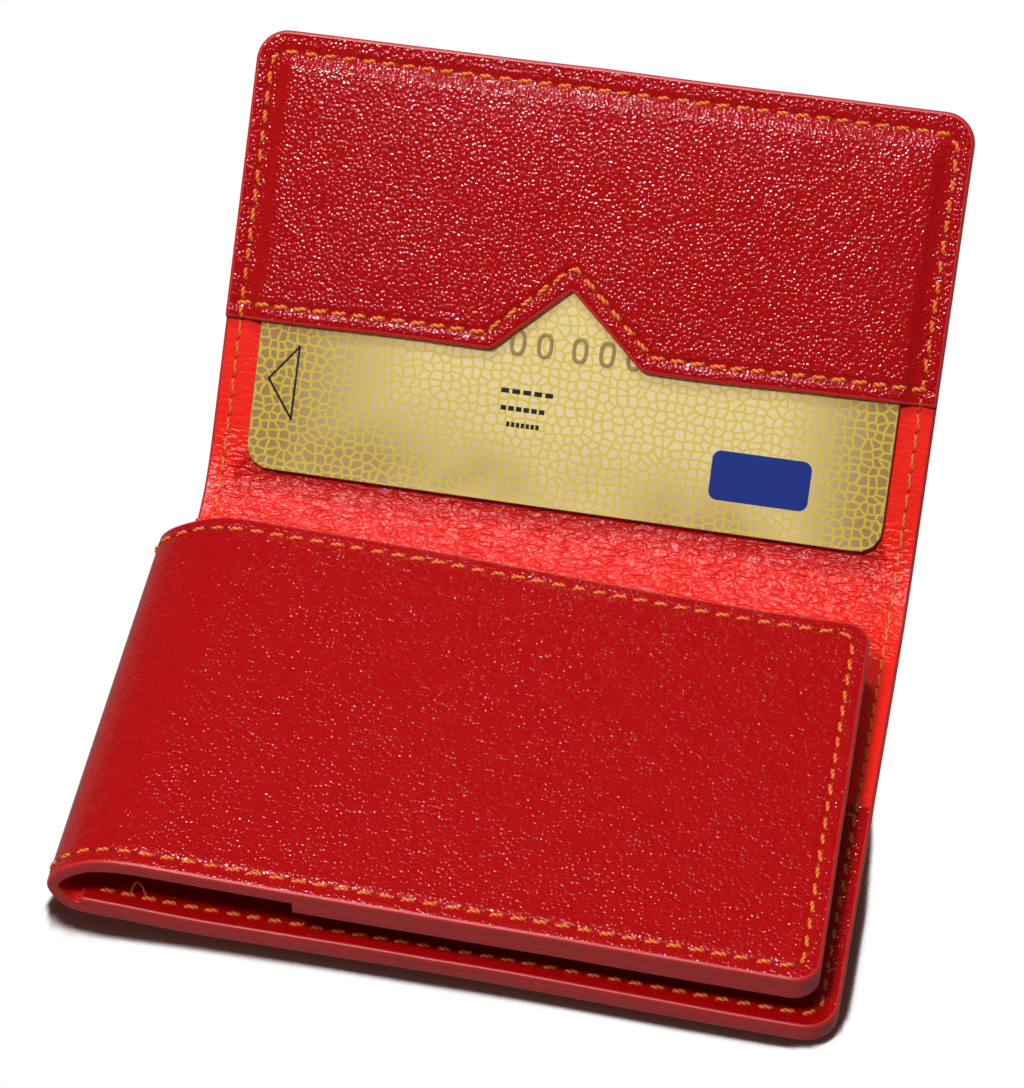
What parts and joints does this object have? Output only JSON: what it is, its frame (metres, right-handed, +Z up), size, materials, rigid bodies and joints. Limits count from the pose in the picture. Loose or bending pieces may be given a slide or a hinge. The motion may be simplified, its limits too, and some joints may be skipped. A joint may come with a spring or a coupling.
{
  "type": "folding card holder",
  "caption": "Half-open folding leather card holder with a stitched card pocket in each cover, a folded side flap, and one bank card in the upper pocket.",
  "frame": {"origin": "centre of the lower cover's flat underside, where it rests on a table", "axes": "+X to the right along the fold lines of the spine, +Y from the front edge towards the spine, +Z up, square to the lower cover"},
  "size_m": [0.0976, 0.1126, 0.0533],
  "materials": {
    "grained_leather": "pebble-grained red leather, semi-gloss",
    "pocket_leather": "pebble-grained red leather, semi-gloss",
    "lining_leather": "smooth bright red lining leather, glossy in the creases",
    "pocket_fabric": "thin red lining cloth",
    "stiffener_board": "matt pressed board",
    "sewing_thread": "orange waxed twisted thread",
    "card_plastic": "printed laminated plastic, gold pattern",
    "chip_contacts": "gold-plated contacts",
    "magnetic_stripe": "dark magnetic coating",
    "signature_panel": "matt white writing panel"
  },
  "bodies": {
    "base": {"outer_leather_lower": "grained_leather", "stiffener_lower": "stiffener_board", "lining_lower": "lining_leather", "lower_pocket_leather": "pocket_leather", "lower_pocket_lining": "pocket_fabric", "thread_lower_perimeter": "sewing_thread", "thread_lower_pocket_mouth": "sewing_thread"},
    "spine": {"outer_leather_spine": "grained_leather", "lining_spine": "lining_leather", "thread_spine_edges": "sewing_thread"},
    "upper_cover": {"outer_leather_upper": "grained_leather", "stiffener_upper": "stiffener_board", "lining_upper": "lining_leather", "upper_pocket_leather": "pocket_leather", "upper_pocket_lining": "pocket_fabric", "thread_upper_perimeter": "sewing_thread", "thread_upper_pocket_mouth": "sewing_thread"},
    "side": {"outer_leather_side": "grained_leather", "lining_side": "lining_leather", "thread_side_edges": "sewing_thread"},
    "flap": {"outer_leather_flap": "grained_leather", "stiffener_flap": "stiffener_board", "lining_flap": "lining_leather", "flap_pocket_leather": "pocket_leather", "thread_flap_perimeter": "sewing_thread", "thread_flap_pocket_mouth": "sewing_thread"},
    "card": {"card_body": "card_plastic", "card_chip_contacts": "chip_contacts", "card_magnetic_stripe": "magnetic_stripe", "card_signature_panel": "signature_panel"}
  },
  "joints": [
    {"name": "spine_lower_fold", "type": "hinge", "parent": "base", "child": "spine", "pos_m": [0, 0.03065, 0.0018], "axis": [1, 0, 0], "range_deg": [-13.5, 76.5], "stiffness_Nm_per_rad": 0.05},
    {"name": "spine_upper_fold", "type": "hinge", "parent": "spine", "child": "upper_cover", "pos_m": [0, 0.04261, 0.00467], "axis": [1, 0, 0], "range_deg": [-38.2, 51.8], "stiffness_Nm_per_rad": 0.05},
    {"name": "side_lower_fold", "type": "hinge", "parent": "base", "child": "side", "pos_m": [-0.0481, -0.00093, 0.0018], "axis": [0, 1, 0], "range_deg": [-90, 0]},
    {"name": "side_upper_fold", "type": "hinge", "parent": "side", "child": "flap", "pos_m": [-0.0481, -0.00093, 0.0095], "axis": [0, 1, 0], "range_deg": [-90, 0]},
    {"name": "card_slide", "type": "slide", "parent": "upper_cover", "child": "card", "axis": [0, -0.6198, -0.7848], "range_m": [0, 0.0024]}
  ],
  "couplings": [
    {"joint": "side_upper_fold", "follows": "side_lower_fold", "ratio": 1}
  ]
}
